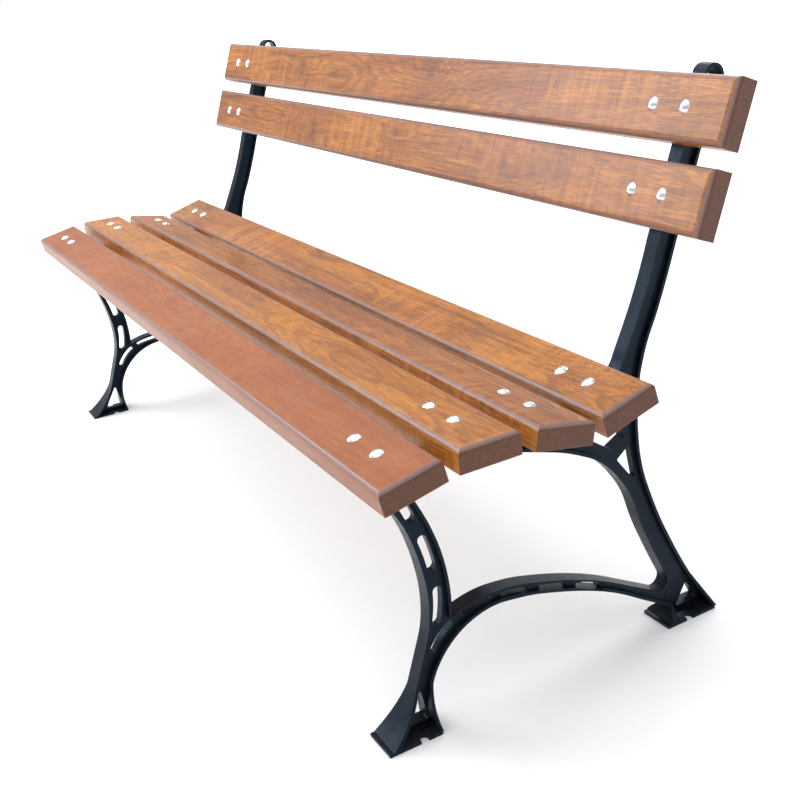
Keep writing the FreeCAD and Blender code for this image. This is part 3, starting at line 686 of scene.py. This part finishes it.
def camera_turn(stage):
    """The way back from what the camera looks at, and its rotation."""
    level = math.cos(stage.elevation)
    across, forward = math.sin(stage.azimuth) * level, -math.cos(stage.azimuth) * level
    back = Vector((across, forward, math.sin(stage.elevation)))
    return back, back.to_track_quat("Z", "Y").to_matrix() @ Matrix.Rotation(stage.roll, 3, "Z")


def area_light(name, place, aim, size, power, tint):
    data = bpy.data.lights.new(name, "AREA")
    data.shape = "RECTANGLE"
    data.size, data.size_y = size
    data.energy = power
    data.color = tint
    light = bpy.data.objects.new(name, data)
    light.location = place
    light.rotation_euler = (Vector(place) - Vector(aim)).to_track_quat("Z", "Y").to_euler()
    bpy.context.scene.collection.objects.link(light)


def sky_world(stage):
    """Even light that is stronger overhead than at the horizon, in front of a plain white wall."""
    world = bpy.data.worlds.new("studio_world")
    world.use_nodes = True
    nodes = Tree(world.node_tree)
    nodes.tree.nodes.clear()
    height = nodes.parts(nodes.add("ShaderNodeTexCoord").outputs["Generated"])[2]
    overhead = nodes.spread(height, 0.0, 1.0, smooth=False)
    low, high = (Vector(stage.sky) * strength for strength in (stage.sky_low, stage.sky_high))
    light = nodes.mix(overhead, low, high)
    seen = nodes.add("ShaderNodeLightPath").outputs["Is Camera Ray"]
    background = nodes.add("ShaderNodeBackground", {"Color": nodes.mix(seen, light, WHITE)})
    output = nodes.add("ShaderNodeOutputWorld")
    nodes.tree.links.new(background.outputs[0], output.inputs[0])
    return world


class BENCH_OT_stage(bpy.types.Operator):
    """Set up the pale floor, the soft lights and the camera"""

    bl_idname = "bench.stage"
    bl_label = "Stage"

    def execute(self, context):
        scene = context.scene
        stage = scene.bench_stage
        low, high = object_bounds()
        middle = (low + high) / 2
        width = (high - low).length * FLOOR_SPANS

        under = (0, 0, low.z)
        bpy.ops.mesh.primitive_grid_add(x_subdivisions=2, y_subdivisions=2, size=width, location=under)
        floor = context.object
        floor.name = "studio_floor"
        floor.data.materials.append(floor_material(stage))
        floor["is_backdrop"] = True

        scene.world = sky_world(stage)
        scene.view_settings.view_transform = "Standard"

        for name, (place, size, setting, tint) in LIGHTS.items():
            area_light(name, middle + Vector(place), middle, size, getattr(stage, setting), tint)

        data = bpy.data.cameras.new("camera")
        data.sensor_width = SENSOR_WIDTH
        data.lens = stage.lens
        data.shift_x, data.shift_y = CAMERA_SHIFT
        camera = bpy.data.objects.new("camera", data)
        back, turned = camera_turn(stage)
        camera.location = middle + Vector(CAMERA_AIM) + back * stage.distance
        camera.rotation_euler = turned.to_euler()
        scene.collection.objects.link(camera)
        scene.camera = camera
        return {"FINISHED"}


SETTINGS = {
    "bench_wood": BENCH_PG_wood,
    "bench_iron": BENCH_PG_iron,
    "bench_zinc": BENCH_PG_zinc,
    "bench_stage": BENCH_PG_stage,
}
OPERATORS = (
    BENCH_OT_shared_effects,
    BENCH_OT_slats,
    BENCH_OT_side_frames,
    BENCH_OT_fasteners,
    BENCH_OT_stage,
)


class BENCH_PT_panel(bpy.types.Panel):
    """The bench's operators, in the order they run"""

    bl_idname = "BENCH_PT_panel"
    bl_label = "Garden bench"
    bl_space_type = "VIEW_3D"
    bl_region_type = "UI"
    bl_category = "Bench"

    def draw(self, context):
        for operator in OPERATORS:
            self.layout.operator(operator.bl_idname)
        for name, group in SETTINGS.items():
            box = self.layout.box()
            for setting in group.__annotations__:
                box.prop(getattr(context.scene, name), setting)


CLASSES = (*SETTINGS.values(), *OPERATORS, BENCH_PT_panel)


def register():
    for item in CLASSES:
        bpy.utils.register_class(item)
    for name, group in SETTINGS.items():
        setattr(bpy.types.Scene, name, bpy.props.PointerProperty(type=group))


def unregister():
    for name in SETTINGS:
        delattr(bpy.types.Scene, name)
    for item in reversed(CLASSES):
        bpy.utils.unregister_class(item)


def main():
    register()
    for operator in OPERATORS:
        family, name = operator.bl_idname.split(".")
        getattr(getattr(bpy.ops, family), name)()


if __name__ == "__main__":
    main()
